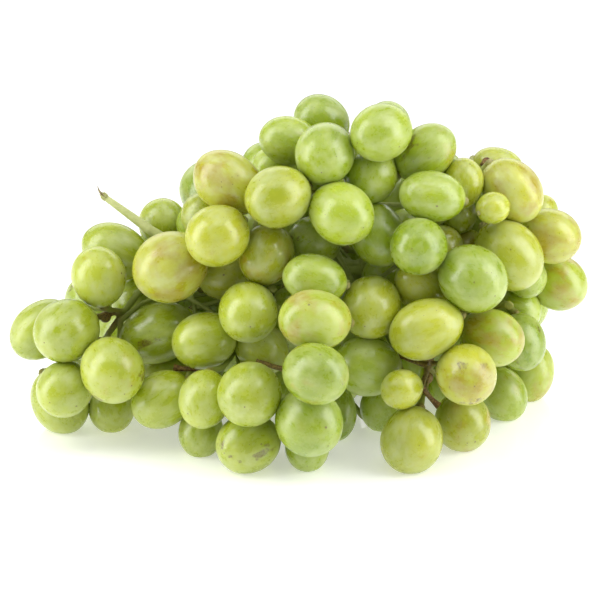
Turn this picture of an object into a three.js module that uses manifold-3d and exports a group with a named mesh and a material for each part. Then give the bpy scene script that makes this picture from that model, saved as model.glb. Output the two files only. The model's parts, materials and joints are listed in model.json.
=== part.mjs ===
// A bunch of white table grapes lying on its side on a flat surface.
// Millimetres, +Z up, +X along the bunch. The berries of one twig are one solid, and the whole
// stalk, from the cut end to the cap on each berry, is another.

import * as THREE from 'three';
import { mergeVertices } from 'three/addons/utils/BufferGeometryUtils.js';
import Module from 'manifold-3d';

const wasm = await Module();
wasm.setup();

// ---- driving dimensions ------------------------------------------------------------------

const FACE_LEAN = THREE.MathUtils.degToRad(20); // how far the face of the heap leans back
const FRONT_FOOT = new THREE.Vector3(0, -61, -1.5); // where the face meets the surface

const GAP = 0.3; // clearance between the stalk and the berries
const BERRY_SPACING = 0.2; // half the clearance between two berries
const FLOOR_PRESS = 1.0; // how much a ripe berry flattens where it carries weight
const FLOOR_REACH = 4.0; // a berry this near to the surface rests on it
const SURFACE_SIZE = 600; // the block that presses the underside flat
const NECK_RADIUS = 1.9; // where two berries of one twig press together
const NECK_SIDES = 6;

const BERRY_SIDES = 8;
const HIDDEN_BERRY_SIDES = 7;
const BERRY_LATITUDES = [-90, -54, -18, 18, 54, 90];
const HIDDEN_LENGTH = 25;
const HIDDEN_WIDTH = 21.5;

// Radii are spaced evenly from a tube's root to its end.
const RACHIS_RADII = [1.3, 2.4, 2.5, 2.3, 2.1, 1.8, 1.5]; // thin where it was torn off the vine
const BRANCH_RADII = [1.8, 1.6, 1.4];
const PEDICEL_RADII = [1.2, 1.0, 1.9]; // thickens to the cap that holds the berry
const CAP_STAND = 0.45; // the cap stands this far off the berry

// Sides and rings of each kind of tube.
const RACHIS_TUBE = { sides: 6, rings: 16 };
const BRANCH_TUBE = { sides: 5, rings: 5 };
const SHOWN_TUBE = { sides: 5, rings: 2 };
const HIDDEN_TUBE = { sides: 3, rings: 2 };

const HUB_DRAW = 7; // a twig's fork lies this far in from its berries
const HUB_DRAW_SHARE = 0.6; // but never further than this share of the way
const BRANCH_END = 0.3; // a branch stops this share of the way short of its twigs
const BRANCH_SAMPLES = 8;
const PEDICEL_START = 4; // a pedicel leaves its berry straight for this length
const BRANCH_ROOM = 2.0; // berries keep this clear of the middle of a branch
const HUB_ROOM = 1.8; // of a fork
const PEDICEL_ROOM = 2.2; // and of a pedicel

const SETTLE_PASSES = 900;
const SETTLE_PULL = 0.03; // how strongly a berry returns to its own place at first
const FACE_YIELD = 0.4; // how freely a berry on the face slips sideways
const FACE_SHARE = 0.2; // what a berry on the face takes of a push against one behind it
const THREAD_PASSES = 80;
const THREAD_EASE = 0.35; // how much each pass straightens a path
const HUB_PASSES = 30;

// ---- the berries on the face of the heap ---------------------------------------------------
// One line per berry: across, up the leaning face, deep behind it, length, width, then the
// heading of its blossom end on the face, in degrees from +X, and its swing towards the front.
// Each inner list is one twig, whose berries press together.

const SHOULDERS = [
  {
    name: 'left_tip',
    tone: 'pale',
    branch: [[-56, 84, 40], [-64, 77, 25], [-78, 60, 25], [-77, 53, 27]],
    twigs: [
      [[-104, 55, 32, 27.5, 21, 220, 10]],
      [[-92, 54, 10, 28, 24, 210, 50]],
      [[-93, 32, 11, 24, 21, 225, 55], [-97, 27, 33, 26.5, 21.5, 300, 10]],
      [[-74, 39, 3, 27, 24, 300, 40], [-76, 24, 34, 19.5, 17.5, 270, 15]],
      [[-80, 76, 16, 23.5, 21, 100, 10]],
    ],
  },
  {
    name: 'left_shoulder',
    tone: 'pale',
    twigs: [
      [[-74, 87, 35, 28, 21, 155, 5], [-56, 95, 38, 20.5, 18.5, 90, 30]],
      [[-66, 66, 45, 21, 19, 220, 10]],
      [[-56, 52, 26, 30.5, 23, 20, 5], [-38, 51, 10, 25.5, 21.5, 195, 10]],
      [[-54, 27, 8, 25, 21, 215, 5], [-54, 37, 32, 21, 16, 180, 0]],
    ],
  },
  {
    name: 'upper_left',
    tone: 'golden',
    twigs: [
      [[-51, 80, 5, 30, 27, 210, 20]],
      [[-32, 92, -9, 25.5, 23, 211, 30], [-38, 100, 16, 18.5, 17, 120, 20]],
      [[-28, 113, 3, 29, 23, 145, 10]],
      [[-8, 107, -12, 26, 23, 200, 25]],
      [[-12, 85, 3, 24, 21, 250, 15], [-30, 77, 22, 21, 19, 200, 10]],
    ],
  },
  {
    name: 'crown',
    tone: 'green',
    twigs: [
      [[10, 124, -5, 27, 22.5, 260, 55]],
      [[-4, 130, 12, 23.5, 18.5, 168, 10], [-10, 120, 25, 17.5, 14.5, 160, 0]],
      [[9, 139, 26, 22.5, 19, 150, 15]],
      [[32, 132, -8, 25, 21.5, 205, 35], [35, 136, 14, 19, 17.5, 90, 0]],
      [[50, 124, 6, 26, 20, 38, 10], [29, 115, 4, 22.5, 20, 250, 40]],
      [[52, 107, -6, 25.5, 19, 172, 10]],
      [[16, 101, -12, 28, 23, 325, 45]],
    ],
  },
  {
    name: 'right_top',
    tone: 'golden',
    twigs: [
      [[64, 113, 10, 19.5, 16, 80, 10], [64, 100, 22, 16, 14.5, 270, 10]],
      [[84, 110, 12, 27, 21.5, 310, 5], [80, 120, 30, 20.5, 15, 340, 5]],
      [[83, 85, 10, 29.5, 25, 310, 10], [76, 103, -2, 13, 11.5, 200, 30]],
      [[100, 92, 28, 25, 21, 345, 10], [97, 100, 42, 19, 14.5, 60, 0]],
      [[56, 88, 14, 17.5, 16, 200, 0], [66, 90, 24, 16, 14.5, 180, 0]],
    ],
  },
  {
    name: 'right_tip',
    tone: 'green',
    twigs: [
      [[103, 74, 41, 25, 21.5, 330, 10], [93, 77, 36, 18, 16, 300, 30]],
      [[89, 50, 28, 22.5, 19, 280, 10], [88, 64, 42, 21.5, 17.5, 335, 10]],
      [[96, 40, 65, 23.5, 17.5, 255, 5], [82, 30, 46, 22.5, 19, 300, 10]],
      [[76, 52, 6, 26, 21.5, 340, 20]],
      [[67, 75, -8, 29, 25, 320, 45]],
    ],
  },
  {
    name: 'right_low',
    tone: 'golden',
    branch: [[44, 66, 44], [48, 50, 22], [51, 44, 14], [51, 35, 12]],
    twigs: [
      [[65, 38, -10, 28.5, 22.5, 300, 70]],
      [[65, 18, 17, 25, 21.5, 280, 50]],
      [[44, 11, -5, 26, 23.5, 255, 15], [40, 32, -10, 16.5, 14.5, 200, 35]],
      [[50, 56, -9, 29, 22.5, 202, 5]],
      [[29, 64, 0, 27, 23, 250, 55], [48, 72, 6, 23, 19, 145, 25]],
    ],
  },
  {
    name: 'centre',
    tone: 'green',
    twigs: [
      [[47, 88, -10, 25, 21.5, 200, 75]],
      [[31, 94, 4, 25.5, 21, 290, 10], [34, 76, 22, 17.5, 16, 120, 10]],
      [[27, 41, 4, 26, 23, 170, 15]],
      [[6, 75, -9, 24.5, 18.5, 168, 5], [5, 90, 13, 25.5, 19, 180, 60]],
      [[6, 38, -34, 26, 22.5, 340, 35], [6, 59, -24, 28, 22.5, 175, 20]],
    ],
  },
  {
    name: 'low_left',
    tone: 'pale',
    twigs: [
      [[-20, 62, -2, 26.5, 22.5, 280, 65], [-15, 48, 13, 22, 19, 140, 20]],
      [[-37, 28, -6, 23, 19, 260, 25], [-40, 15, 10, 20, 17, 265, 5]],
      [[-19, 30, -18, 28, 24, 250, 70], [-20, 10, -5, 27, 22.5, 200, 45]],
    ],
  },
  {
    name: 'low_middle',
    tone: 'green',
    twigs: [
      [[3, 20, -20, 27, 25, 310, 35], [3, 8, -2, 22, 16.5, 270, 50]],
      [[33, 23, 33, 20, 16, 100, 40], [14, 22, 26, 22.5, 17, 270, 5]],
    ],
  },
];

// ---- the berries round the back and inside, in rows along the bunch --------------------------

const BACK_ROWS = [
  { name: 'back_foot', height: 12, depth: 38, from: -80, to: 82, count: 8 },
  { name: 'back_low', height: 34, depth: 40, from: -82, to: 90, count: 8 },
  { name: 'back_middle', height: 56, depth: 36, from: -66, to: 90, count: 8 },
  { name: 'back_high', height: 77, depth: 31, from: -38, to: 86, count: 6 },
  { name: 'back_crown', height: 98, depth: 25, from: -14, to: 54, count: 4 },
  { name: 'inner_foot', height: 12, depth: 4, from: -56, to: 66, count: 6 },
  { name: 'inner_low', height: 35, depth: -8, from: -52, to: 70, count: 6 },
  { name: 'inner_middle', height: 37, depth: 16, from: -66, to: 76, count: 6 },
  { name: 'inner_high', height: 79, depth: 7, from: -42, to: 70, count: 5 },
];
const HALF_LENGTH = 130; // the back curves in towards both ends, as an ellipse this long
// How far a row's berries stray from its line, and from the straight way out of the bunch.
const ROW_SWAY = { along: 4, depth: 5, height: 6, heading: 13, length: 0.08, width: 0.06 };
const BERRIES_PER_TWIG = 6;
const TWIG_WORDS = { 1: 'berry', 2: 'pair', 3: 'three', 4: 'four', 5: 'five', 6: 'six' };

// The main stalk, from the cut end through the hollow middle, in world millimetres.
const RACHIS = [
  [-79, 8, 89], [-68, 4, 82], [-56, 1, 74], [-38, 8, 62],
  [-5, 10, 56], [32, 8, 58], [66, 12, 60], [92, 18, 54],
];
const RACHIS_ROOM = 5; // no berry comes nearer than this to the main stalk
const RACHIS_SAMPLES = 60;

// ---- frame of the leaning face ---------------------------------------------------------------

const ACROSS = new THREE.Vector3(1, 0, 0);
const UP_FACE = new THREE.Vector3(0, Math.sin(FACE_LEAN), Math.cos(FACE_LEAN));
const INTO_FACE = new THREE.Vector3(0, Math.cos(FACE_LEAN), -Math.sin(FACE_LEAN));

function onFace(across, up, deep) {
  return FRONT_FOOT.clone()
    .addScaledVector(ACROSS, across)
    .addScaledVector(UP_FACE, up)
    .addScaledVector(INTO_FACE, deep);
}

function blossomAxis(heading, swing) {
  const h = THREE.MathUtils.degToRad(heading);
  const s = THREE.MathUtils.degToRad(swing);
  return new THREE.Vector3()
    .addScaledVector(ACROSS, Math.cos(s) * Math.cos(h))
    .addScaledVector(UP_FACE, Math.cos(s) * Math.sin(h))
    .addScaledVector(INTO_FACE, -Math.sin(s));
}

// ---- berries ---------------------------------------------------------------------------------

// The squared-radius matrix of a spheroid: width^2 everywhere, length^2 along its axis.
function spheroidMatrix(axis, halfLength, halfWidth) {
  const w = halfWidth * halfWidth;
  const k = halfLength * halfLength - w;
  return new THREE.Matrix3().set(
    w + k * axis.x * axis.x, k * axis.x * axis.y, k * axis.x * axis.z,
    k * axis.x * axis.y, w + k * axis.y * axis.y, k * axis.y * axis.z,
    k * axis.x * axis.z, k * axis.y * axis.z, w + k * axis.z * axis.z,
  );
}

class Berry {
  constructor({ place, axis, length, width, onFront, sides }) {
    this.place = place;
    this.home = place.clone();
    this.axis = axis;
    this.halfLength = length / 2;
    this.halfWidth = width / 2;
    this.onFront = onFront;
    this.sides = sides;
    this.matrix = spheroidMatrix(axis, this.halfLength + BERRY_SPACING, this.halfWidth + BERRY_SPACING);
    const dip = this.halfLength ** 2 * axis.z ** 2 + this.halfWidth ** 2 * (1 - axis.z ** 2);
    this.drop = Math.sqrt(dip);
    this.rests = place.z - this.drop < FLOOR_REACH;
  }

  // Berries on the front give way mostly along the line of sight, the others freely.
  yieldBy(push) {
    if (!this.onFront) {
      this.place.add(push);
      return;
    }
    const inward = push.dot(INTO_FACE);
    this.place.addScaledVector(push, FACE_YIELD).addScaledVector(INTO_FACE, (1 - FACE_YIELD) * inward);
  }

  keepOnFloor() {
    const lowest = this.drop - FLOOR_PRESS;
    if (this.rests) {
      this.place.z = lowest;
    }
    this.place.z = Math.max(this.place.z, lowest);
  }

  stemEnd(standOff) {
    return this.place.clone().addScaledVector(this.axis, -(this.halfLength + standOff));
  }
}

function frontBerry([across, up, deep, length, width, heading, swing]) {
  return new Berry({
    place: onFace(across, up, deep),
    axis: blossomAxis(heading, swing),
    length,
    width,
    onFront: true,
    sides: BERRY_SIDES,
  });
}

function nearestOnRachis(point) {
  let best = rachisPoints[0];
  for (const candidate of rachisPoints) {
    if (candidate.distanceTo(point) < best.distanceTo(point)) {
      best = candidate;
    }
  }
  return best;
}

// A berry of a row, swayed off the row's line by waves that don't repeat along it.
function rowBerry(row, index) {
  const line = THREE.MathUtils.lerp(row.from, row.to, index / (row.count - 1));
  const x = line + ROW_SWAY.along * Math.sin(4.1 * index + 2 * row.height);
  const y = row.depth * Math.sqrt(1 - (x / HALF_LENGTH) ** 2);
  const sway = Math.sin(2.4 * index + row.height);
  const onFloor = row.height < HIDDEN_WIDTH;
  const place = new THREE.Vector3(x, y + ROW_SWAY.depth * sway, row.height);
  place.z += onFloor ? 0 : ROW_SWAY.height * sway;
  const outward = place.clone().sub(nearestOnRachis(place));
  outward.x += ROW_SWAY.heading * Math.cos(1.7 * index + row.height);
  outward.z += ROW_SWAY.heading * Math.sin(2.9 * index + 3 * row.height);
  return new Berry({
    place,
    axis: outward.normalize(),
    length: HIDDEN_LENGTH * (1 + ROW_SWAY.length * sway),
    width: HIDDEN_WIDTH * (1 + ROW_SWAY.width * Math.cos(3.1 * index + row.height)),
    onFront: false,
    sides: HIDDEN_BERRY_SIDES,
  });
}

// A twig is named after its place and the number of its berries, such as crown_pair_2.
function twigName(place, berryCount, index) {
  return `${place}_${TWIG_WORDS[berryCount]}_${index + 1}`;
}

function frontTwigs() {
  return SHOULDERS.flatMap((shoulder) => shoulder.twigs.map((berries, index) => ({
    name: twigName(shoulder.name, berries.length, index),
    tone: shoulder.tone,
    shoulder,
    berries: berries.map(frontBerry),
  })));
}

function backTwigs() {
  return BACK_ROWS.flatMap((row) => {
    const berries = Array.from({ length: row.count }, (_, index) => rowBerry(row, index));
    const twigCount = Math.ceil(row.count / BERRIES_PER_TWIG);
    const share = Math.ceil(row.count / twigCount);
    return Array.from({ length: twigCount }, (_, index) => {
      const onTwig = berries.slice(index * share, (index + 1) * share);
      const name = twigName(row.name, onTwig.length, index);
      return { name, tone: 'green', shoulder: null, berries: onTwig };
    });
  });
}

// ---- settling: berries press apart until none overlaps -----------------------------------------

function pushShare(first, second) {
  if (first.onFront === second.onFront) {
    return 0.5;
  }
  return first.onFront ? FACE_SHARE : 1 - FACE_SHARE;
}

// Two spheroids A and B are clear of each other when R (A + B)^-1 R is at least 2.
function pressApart(first, second) {
  const between = second.place.clone().sub(first.place);
  const reach = first.halfLength + second.halfLength + 2 * BERRY_SPACING;
  if (between.length() > reach) {
    return;
  }
  const sum = new THREE.Matrix3();
  sum.elements = first.matrix.elements.map((value, i) => value + second.matrix.elements[i]);
  const slope = between.clone().applyMatrix3(sum.invert());
  const closeness = between.dot(slope);
  if (closeness >= 2) {
    return;
  }
  const push = slope.multiplyScalar((2 - closeness) / (2 * slope.lengthSq()));
  const share = pushShare(first, second);
  first.yieldBy(push.clone().multiplyScalar(-share));
  second.yieldBy(push.clone().multiplyScalar(1 - share));
}

function clearRachis(berry) {
  const stalk = nearestOnRachis(berry.place);
  const away = berry.place.clone().sub(stalk);
  const room = berry.halfWidth + RACHIS_ROOM;
  if (away.length() < room) {
    berry.place.addScaledVector(away.normalize(), 0.5 * (room - berry.place.distanceTo(stalk)));
  }
}

function settle(berries) {
  for (let pass = 0; pass < SETTLE_PASSES; pass += 1) {
    const pull = Math.max(0, SETTLE_PULL * (1 - (2 * pass) / SETTLE_PASSES));
    for (const berry of berries) {
      berry.place.lerp(berry.home, pull);
      clearRachis(berry);
    }
    for (let i = 0; i < berries.length; i += 1) {
      for (let j = i + 1; j < berries.length; j += 1) {
        pressApart(berries[i], berries[j]);
      }
    }
    berries.forEach((berry) => berry.keepOnFloor());
  }
}

// ---- solids ------------------------------------------------------------------------------------

function solidOf(geometry) {
  geometry.deleteAttribute('normal');
  geometry.deleteAttribute('uv');
  const merged = mergeVertices(geometry, 1e-4);
  const indices = Array.from(merged.index.array);
  const triangles = [];
  for (let i = 0; i < indices.length; i += 3) {
    const [a, b, c] = indices.slice(i, i + 3);
    if (a !== b && b !== c && c !== a) {
      triangles.push(a, b, c);
    }
  }
  const mesh = new wasm.Mesh({
    numProp: 3,
    vertProperties: new Float32Array(merged.attributes.position.array),
    triVerts: new Uint32Array(triangles),
  });
  return new wasm.Manifold(mesh);
}

function geometryOf(solid) {
  const mesh = solid.getMesh();
  const geometry = new THREE.BufferGeometry();
  geometry.setAttribute('position', new THREE.BufferAttribute(new Float32Array(mesh.vertProperties), 3));
  geometry.setIndex(new THREE.BufferAttribute(new Uint32Array(mesh.triVerts), 1));
  geometry.computeVertexNormals();
  return geometry;
}

// A grape is a spheroid turned on its own axis.
function berrySolid(berry, clearance) {
  const profile = BERRY_LATITUDES.map((latitude) => {
    const angle = THREE.MathUtils.degToRad(latitude);
    return new THREE.Vector2(
      Math.abs(latitude) === 90 ? 0 : (berry.halfWidth + clearance) * Math.cos(angle),
      (berry.halfLength + clearance) * Math.sin(angle),
    );
  });
  const geometry = new THREE.LatheGeometry(profile, berry.sides);
  const turn = new THREE.Quaternion().setFromUnitVectors(new THREE.Vector3(0, 1, 0), berry.axis);
  geometry.applyQuaternion(turn);
  geometry.translate(berry.place.x, berry.place.y, berry.place.z);
  return solidOf(geometry);
}

function neckSolid(from, to, clearance) {
  const radius = NECK_RADIUS + clearance;
  const along = to.clone().sub(from);
  const geometry = new THREE.CylinderGeometry(radius, radius, along.length(), NECK_SIDES);
  const turn = new THREE.Quaternion().setFromUnitVectors(new THREE.Vector3(0, 1, 0), along.normalize());
  geometry.applyQuaternion(turn);
  const middle = from.clone().add(to).multiplyScalar(0.5);
  geometry.translate(middle.x, middle.y, middle.z);
  return solidOf(geometry);
}

function twigSolid(twig, clearance) {
  let solid = berrySolid(twig.berries[0], clearance);
  for (let i = 1; i < twig.berries.length; i += 1) {
    solid = solid.add(berrySolid(twig.berries[i], clearance));
    solid = solid.add(neckSolid(twig.berries[i - 1].place, twig.berries[i].place, clearance));
  }
  return solid;
}

// Everything below the surface is pressed flat.
function onSurface(solid) {
  const below = new THREE.BoxGeometry(SURFACE_SIZE, SURFACE_SIZE, SURFACE_SIZE);
  below.translate(0, 0, -SURFACE_SIZE / 2);
  return solid.subtract(solidOf(below));
}

// ---- stalk -------------------------------------------------------------------------------------

function radiusAt(radii, t) {
  const spot = t * (radii.length - 1);
  const before = Math.min(Math.floor(spot), radii.length - 2);
  return THREE.MathUtils.lerp(radii[before], radii[before + 1], spot - before);
}

// A closed tube along a curve: a straight cylinder whose rings are carried onto the curve.
function tubeSolid(curve, radii, { sides, rings }) {
  const frames = curve.computeFrenetFrames(rings, false);
  const geometry = new THREE.CylinderGeometry(1, 1, 1, sides, rings);
  const position = geometry.attributes.position;
  for (let i = 0; i < position.count; i += 1) {
    const ring = Math.round((position.getY(i) + 0.5) * rings);
    const t = ring / rings;
    const radius = radiusAt(radii, t);
    const centre = curve.getPointAt(t);
    centre.addScaledVector(frames.binormals[ring], radius * position.getX(i));
    centre.addScaledVector(frames.normals[ring], radius * position.getZ(i));
    position.setXYZ(i, centre.x, centre.y, centre.z);
  }
  return solidOf(geometry);
}

function pushOutOfBerries(point, berries, room) {
  for (const berry of berries) {
    const away = point.clone().sub(berry.place);
    if (away.length() > berry.halfLength + room) {
      continue;
    }
    const matrix = spheroidMatrix(berry.axis, berry.halfLength + room, berry.halfWidth + room);
    const slope = away.clone().applyMatrix3(matrix.invert());
    const depth = away.dot(slope);
    if (depth < 1) {
      point.addScaledVector(slope, (1 - depth) / (2 * slope.lengthSq()));
    }
  }
}

// Threads a path from one point to another through the gaps between the berries.
function threadPath(waypoints, count, berries, room) {
  const rough = new THREE.CatmullRomCurve3(waypoints, false, 'chordal');
  const points = rough.getSpacedPoints(count);
  for (let pass = 0; pass < THREAD_PASSES; pass += 1) {
    for (let i = 1; i < points.length - 1; i += 1) {
      const smooth = points[i - 1].clone().add(points[i + 1]).multiplyScalar(0.5);
      points[i].lerp(smooth, THREAD_EASE);
      pushOutOfBerries(points[i], berries, room);
    }
  }
  return new THREE.CatmullRomCurve3(points, false, 'chordal');
}

function meanPoint(points) {
  return points.reduce((sum, point) => sum.add(point), new THREE.Vector3()).multiplyScalar(1 / points.length);
}

function drawnIn(point, target, distance) {
  const step = target.clone().sub(point);
  const length = Math.min(distance, HUB_DRAW_SHARE * step.length());
  return point.clone().addScaledVector(step.normalize(), length);
}

function nearestOf(points, target) {
  return points.reduce((best, point) => (point.distanceTo(target) < best.distanceTo(target) ? point : best));
}

// The branch of one shoulder leaves the main stalk and reaches in among its twigs.
function branchCurve(shoulder, twigs, berries) {
  if (shoulder.branch) {
    const points = shoulder.branch.map(([across, up, deep]) => onFace(across, up, deep));
    points.unshift(nearestOnRachis(points[0]).clone());
    return threadPath(points, 2 * points.length - 1, berries, BRANCH_ROOM);
  }
  const middle = meanPoint(twigs.map((twig) => twig.hub));
  const root = nearestOnRachis(middle);
  const end = middle.clone().lerp(root, BRANCH_END);
  pushOutOfBerries(end, berries, BRANCH_ROOM);
  return threadPath([root.clone(), end], BRANCH_TUBE.rings + 1, berries, BRANCH_ROOM);
}

function placeHub(twig, berries) {
  const ends = meanPoint(twig.berries.map((berry) => berry.stemEnd(PEDICEL_START)));
  twig.hub = drawnIn(ends, nearestOnRachis(ends), HUB_DRAW);
  for (let pass = 0; pass < HUB_PASSES; pass += 1) {
    pushOutOfBerries(twig.hub, berries, HUB_ROOM);
  }
}

// The pedicel that ends in the cap of one berry, from the given points further in.
function pedicelCurve(inner, berry, berries) {
  const points = inner.map((point) => point.clone());
  points.push(berry.stemEnd(PEDICEL_START), berry.stemEnd(CAP_STAND));
  return threadPath(points, 3 + 2 * inner.length, berries, PEDICEL_ROOM);
}

function stalkTubes(twigs, berries) {
  const tubes = [tubeSolid(rachisCurve, RACHIS_RADII, RACHIS_TUBE)];
  twigs.forEach((twig) => placeHub(twig, berries));
  const roots = new Map([[null, rachisPoints]]);
  for (const shoulder of SHOULDERS) {
    const curve = branchCurve(shoulder, twigs.filter((twig) => twig.shoulder === shoulder), berries);
    roots.set(shoulder, [...curve.getSpacedPoints(BRANCH_SAMPLES), ...rachisPoints]);
    tubes.push(tubeSolid(curve, BRANCH_RADII, BRANCH_TUBE));
  }
  for (const twig of twigs) {
    const root = nearestOf(roots.get(twig.shoulder), twig.hub);
    const tube = twig.shoulder ? SHOWN_TUBE : HIDDEN_TUBE;
    const [first, ...others] = twig.berries;
    const main = pedicelCurve([root, twig.hub], first, berries);
    const fork = nearestOf(main.getPoints(RACHIS_SAMPLES), twig.hub);
    tubes.push(tubeSolid(main, PEDICEL_RADII, { sides: tube.sides, rings: 2 * tube.rings }));
    for (const berry of others) {
      tubes.push(tubeSolid(pedicelCurve([fork], berry, berries), PEDICEL_RADII, tube));
    }
  }
  return tubes;
}

function stalkSolid(twigs, berries) {
  const grown = wasm.Manifold.union(stalkTubes(twigs, berries));
  const occupied = wasm.Manifold.union(twigs.map((twig) => twigSolid(twig, GAP)));
  const pieces = onSurface(grown.subtract(occupied)).decompose();
  return pieces.reduce((best, piece) => (piece.volume() > best.volume() ? piece : best));
}

// ---- the bunch ---------------------------------------------------------------------------------

const FINISHES = {
  pale: new THREE.MeshStandardMaterial({ color: 0xc2cb6a, roughness: 0.3, metalness: 0 }),
  green: new THREE.MeshStandardMaterial({ color: 0xa9b84c, roughness: 0.3, metalness: 0 }),
  golden: new THREE.MeshStandardMaterial({ color: 0xc4bf5e, roughness: 0.3, metalness: 0 }),
  stalk: new THREE.MeshStandardMaterial({ color: 0x9aa35a, roughness: 0.65, metalness: 0 }),
};

const rachisCurve = new THREE.CatmullRomCurve3(RACHIS.map((p) => new THREE.Vector3(...p)), false, 'chordal');
const rachisPoints = rachisCurve.getSpacedPoints(RACHIS_SAMPLES);

function namedMesh(name, solid, material) {
  const mesh = new THREE.Mesh(geometryOf(solid), material);
  mesh.name = name;
  return mesh;
}

function buildBunch() {
  const twigs = [...frontTwigs(), ...backTwigs()];
  const berries = twigs.flatMap((twig) => twig.berries);
  settle(berries);
  const bunch = new THREE.Group();
  bunch.add(namedMesh('stalk', stalkSolid(twigs, berries), FINISHES.stalk));
  for (const twig of twigs) {
    bunch.add(namedMesh(twig.name, onSurface(twigSolid(twig, 0)), FINISHES[twig.tone]));
  }
  const box = new THREE.Box3().setFromObject(bunch);
  const centre = box.getCenter(new THREE.Vector3());
  bunch.position.set(-centre.x, -centre.y, -box.min.z);
  return bunch;
}

export default buildBunch();
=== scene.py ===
"""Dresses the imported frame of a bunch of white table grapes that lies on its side.

Every berry is recovered from its CAD solid as a spheroid, and takes its own copy of one modelled
grape. The stalk is remeshed from the CAD stalk and gets a modelled cap at each berry, a torn end, bare
stems and the stubs of lost berries. The scene is in metres, with +Z up, +X along the bunch and the front
of the heap towards -Y. Places on the bunch are worked out in millimetres and scaled by MM at the end.
"""

import json
import logging
import math
from collections.abc import Callable
from dataclasses import dataclass, field
from enum import Enum

import bmesh
import bpy
import numpy as np
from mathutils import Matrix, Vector, noise


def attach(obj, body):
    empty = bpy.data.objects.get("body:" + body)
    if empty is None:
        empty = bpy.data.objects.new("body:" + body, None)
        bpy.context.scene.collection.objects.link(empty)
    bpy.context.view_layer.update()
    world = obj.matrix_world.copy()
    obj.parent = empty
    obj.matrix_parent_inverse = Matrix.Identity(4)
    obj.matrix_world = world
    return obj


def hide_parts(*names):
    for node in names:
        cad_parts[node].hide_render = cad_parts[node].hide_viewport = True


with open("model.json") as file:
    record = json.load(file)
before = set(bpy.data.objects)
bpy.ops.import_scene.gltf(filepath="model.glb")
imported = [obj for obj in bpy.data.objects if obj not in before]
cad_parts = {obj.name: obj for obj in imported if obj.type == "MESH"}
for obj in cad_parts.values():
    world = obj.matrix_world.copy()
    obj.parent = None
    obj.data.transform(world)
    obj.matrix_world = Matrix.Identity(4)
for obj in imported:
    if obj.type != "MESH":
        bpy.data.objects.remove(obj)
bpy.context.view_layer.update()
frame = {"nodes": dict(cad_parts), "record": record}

MM = 0.001
STALK = "stalk"
WHITE = (1.0, 1.0, 1.0, 1.0)
Colour = tuple[float, float, float, float]
Triple = tuple[float, float, float]
log = logging.getLogger("grapes")


# ---- small helpers over bpy.ops ---------------------------------------------------------------


def deselect_all() -> None:
    """Leave object mode with nothing selected."""
    if bpy.context.object and bpy.context.object.mode != "OBJECT":
        bpy.ops.object.mode_set(mode="OBJECT")
    bpy.ops.object.select_all(action="DESELECT")


def make_active(obj: bpy.types.Object) -> None:
    """Select one object alone and make it the active one.

    Args:
        obj: The object to work on.
    """
    deselect_all()
    obj.select_set(True)
    bpy.context.view_layer.objects.active = obj


def apply_modifier(obj: bpy.types.Object, kind: str, **settings: object) -> None:
    """Add a modifier with the given settings and apply it at once.

    Args:
        obj: The mesh object.
        kind: The modifier's type, such as "REMESH".
        **settings: The modifier's properties.
    """
    make_active(obj)
    modifier = obj.modifiers.new(kind.title(), kind)
    for name, value in settings.items():
        setattr(modifier, name, value)
    bpy.ops.object.modifier_apply(modifier=modifier.name)


def points_of(mesh: bpy.types.Mesh) -> np.ndarray:
    """Read a mesh's vertices.

    Args:
        mesh: The mesh to read.

    Returns:
        An array of one row per vertex, in metres.
    """
    points = np.empty(len(mesh.vertices) * 3)
    mesh.vertices.foreach_get("co", points)
    return points.reshape(-1, 3)


def store_vectors(mesh: bpy.types.Mesh, name: str, values: np.ndarray) -> None:
    """Keep one vector for each vertex as a named attribute of the mesh.

    Args:
        mesh: The mesh that gets the attribute.
        name: The attribute's name.
        values: One row of three numbers per vertex.
    """
    attribute = mesh.attributes.new(name, "FLOAT_VECTOR", "POINT")
    attribute.data.foreach_set("vector", np.ascontiguousarray(values, dtype=np.float32).ravel())


def select_faces(obj: bpy.types.Object, wanted: Callable[[bmesh.types.BMFace], bool]) -> None:
    """Select, in edit mode, the faces that a test picks.

    Args:
        obj: The mesh object in edit mode.
        wanted: A function of a face that says whether it is picked.
    """
    shape = bmesh.from_edit_mesh(obj.data)
    picked = [face for face in shape.faces if wanted(face)]
    for face in shape.faces:
        face.select_set(False)
    for face in picked:
        face.select_set(True)
    shape.select_flush_mode()
    bmesh.update_edit_mesh(obj.data)


def clothe(obj: bpy.types.Object, material: bpy.types.Material, node: str) -> None:
    """Set a piece's finish and tie the piece to the frame.

    Args:
        obj: The piece.
        material: Its one finish.
        node: The CAD node that it replaces.
    """
    obj.data.materials.clear()
    obj.data.materials.append(material)
    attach(obj, "root")
    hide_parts(node)


# ---- shader building --------------------------------------------------------------------------


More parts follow.
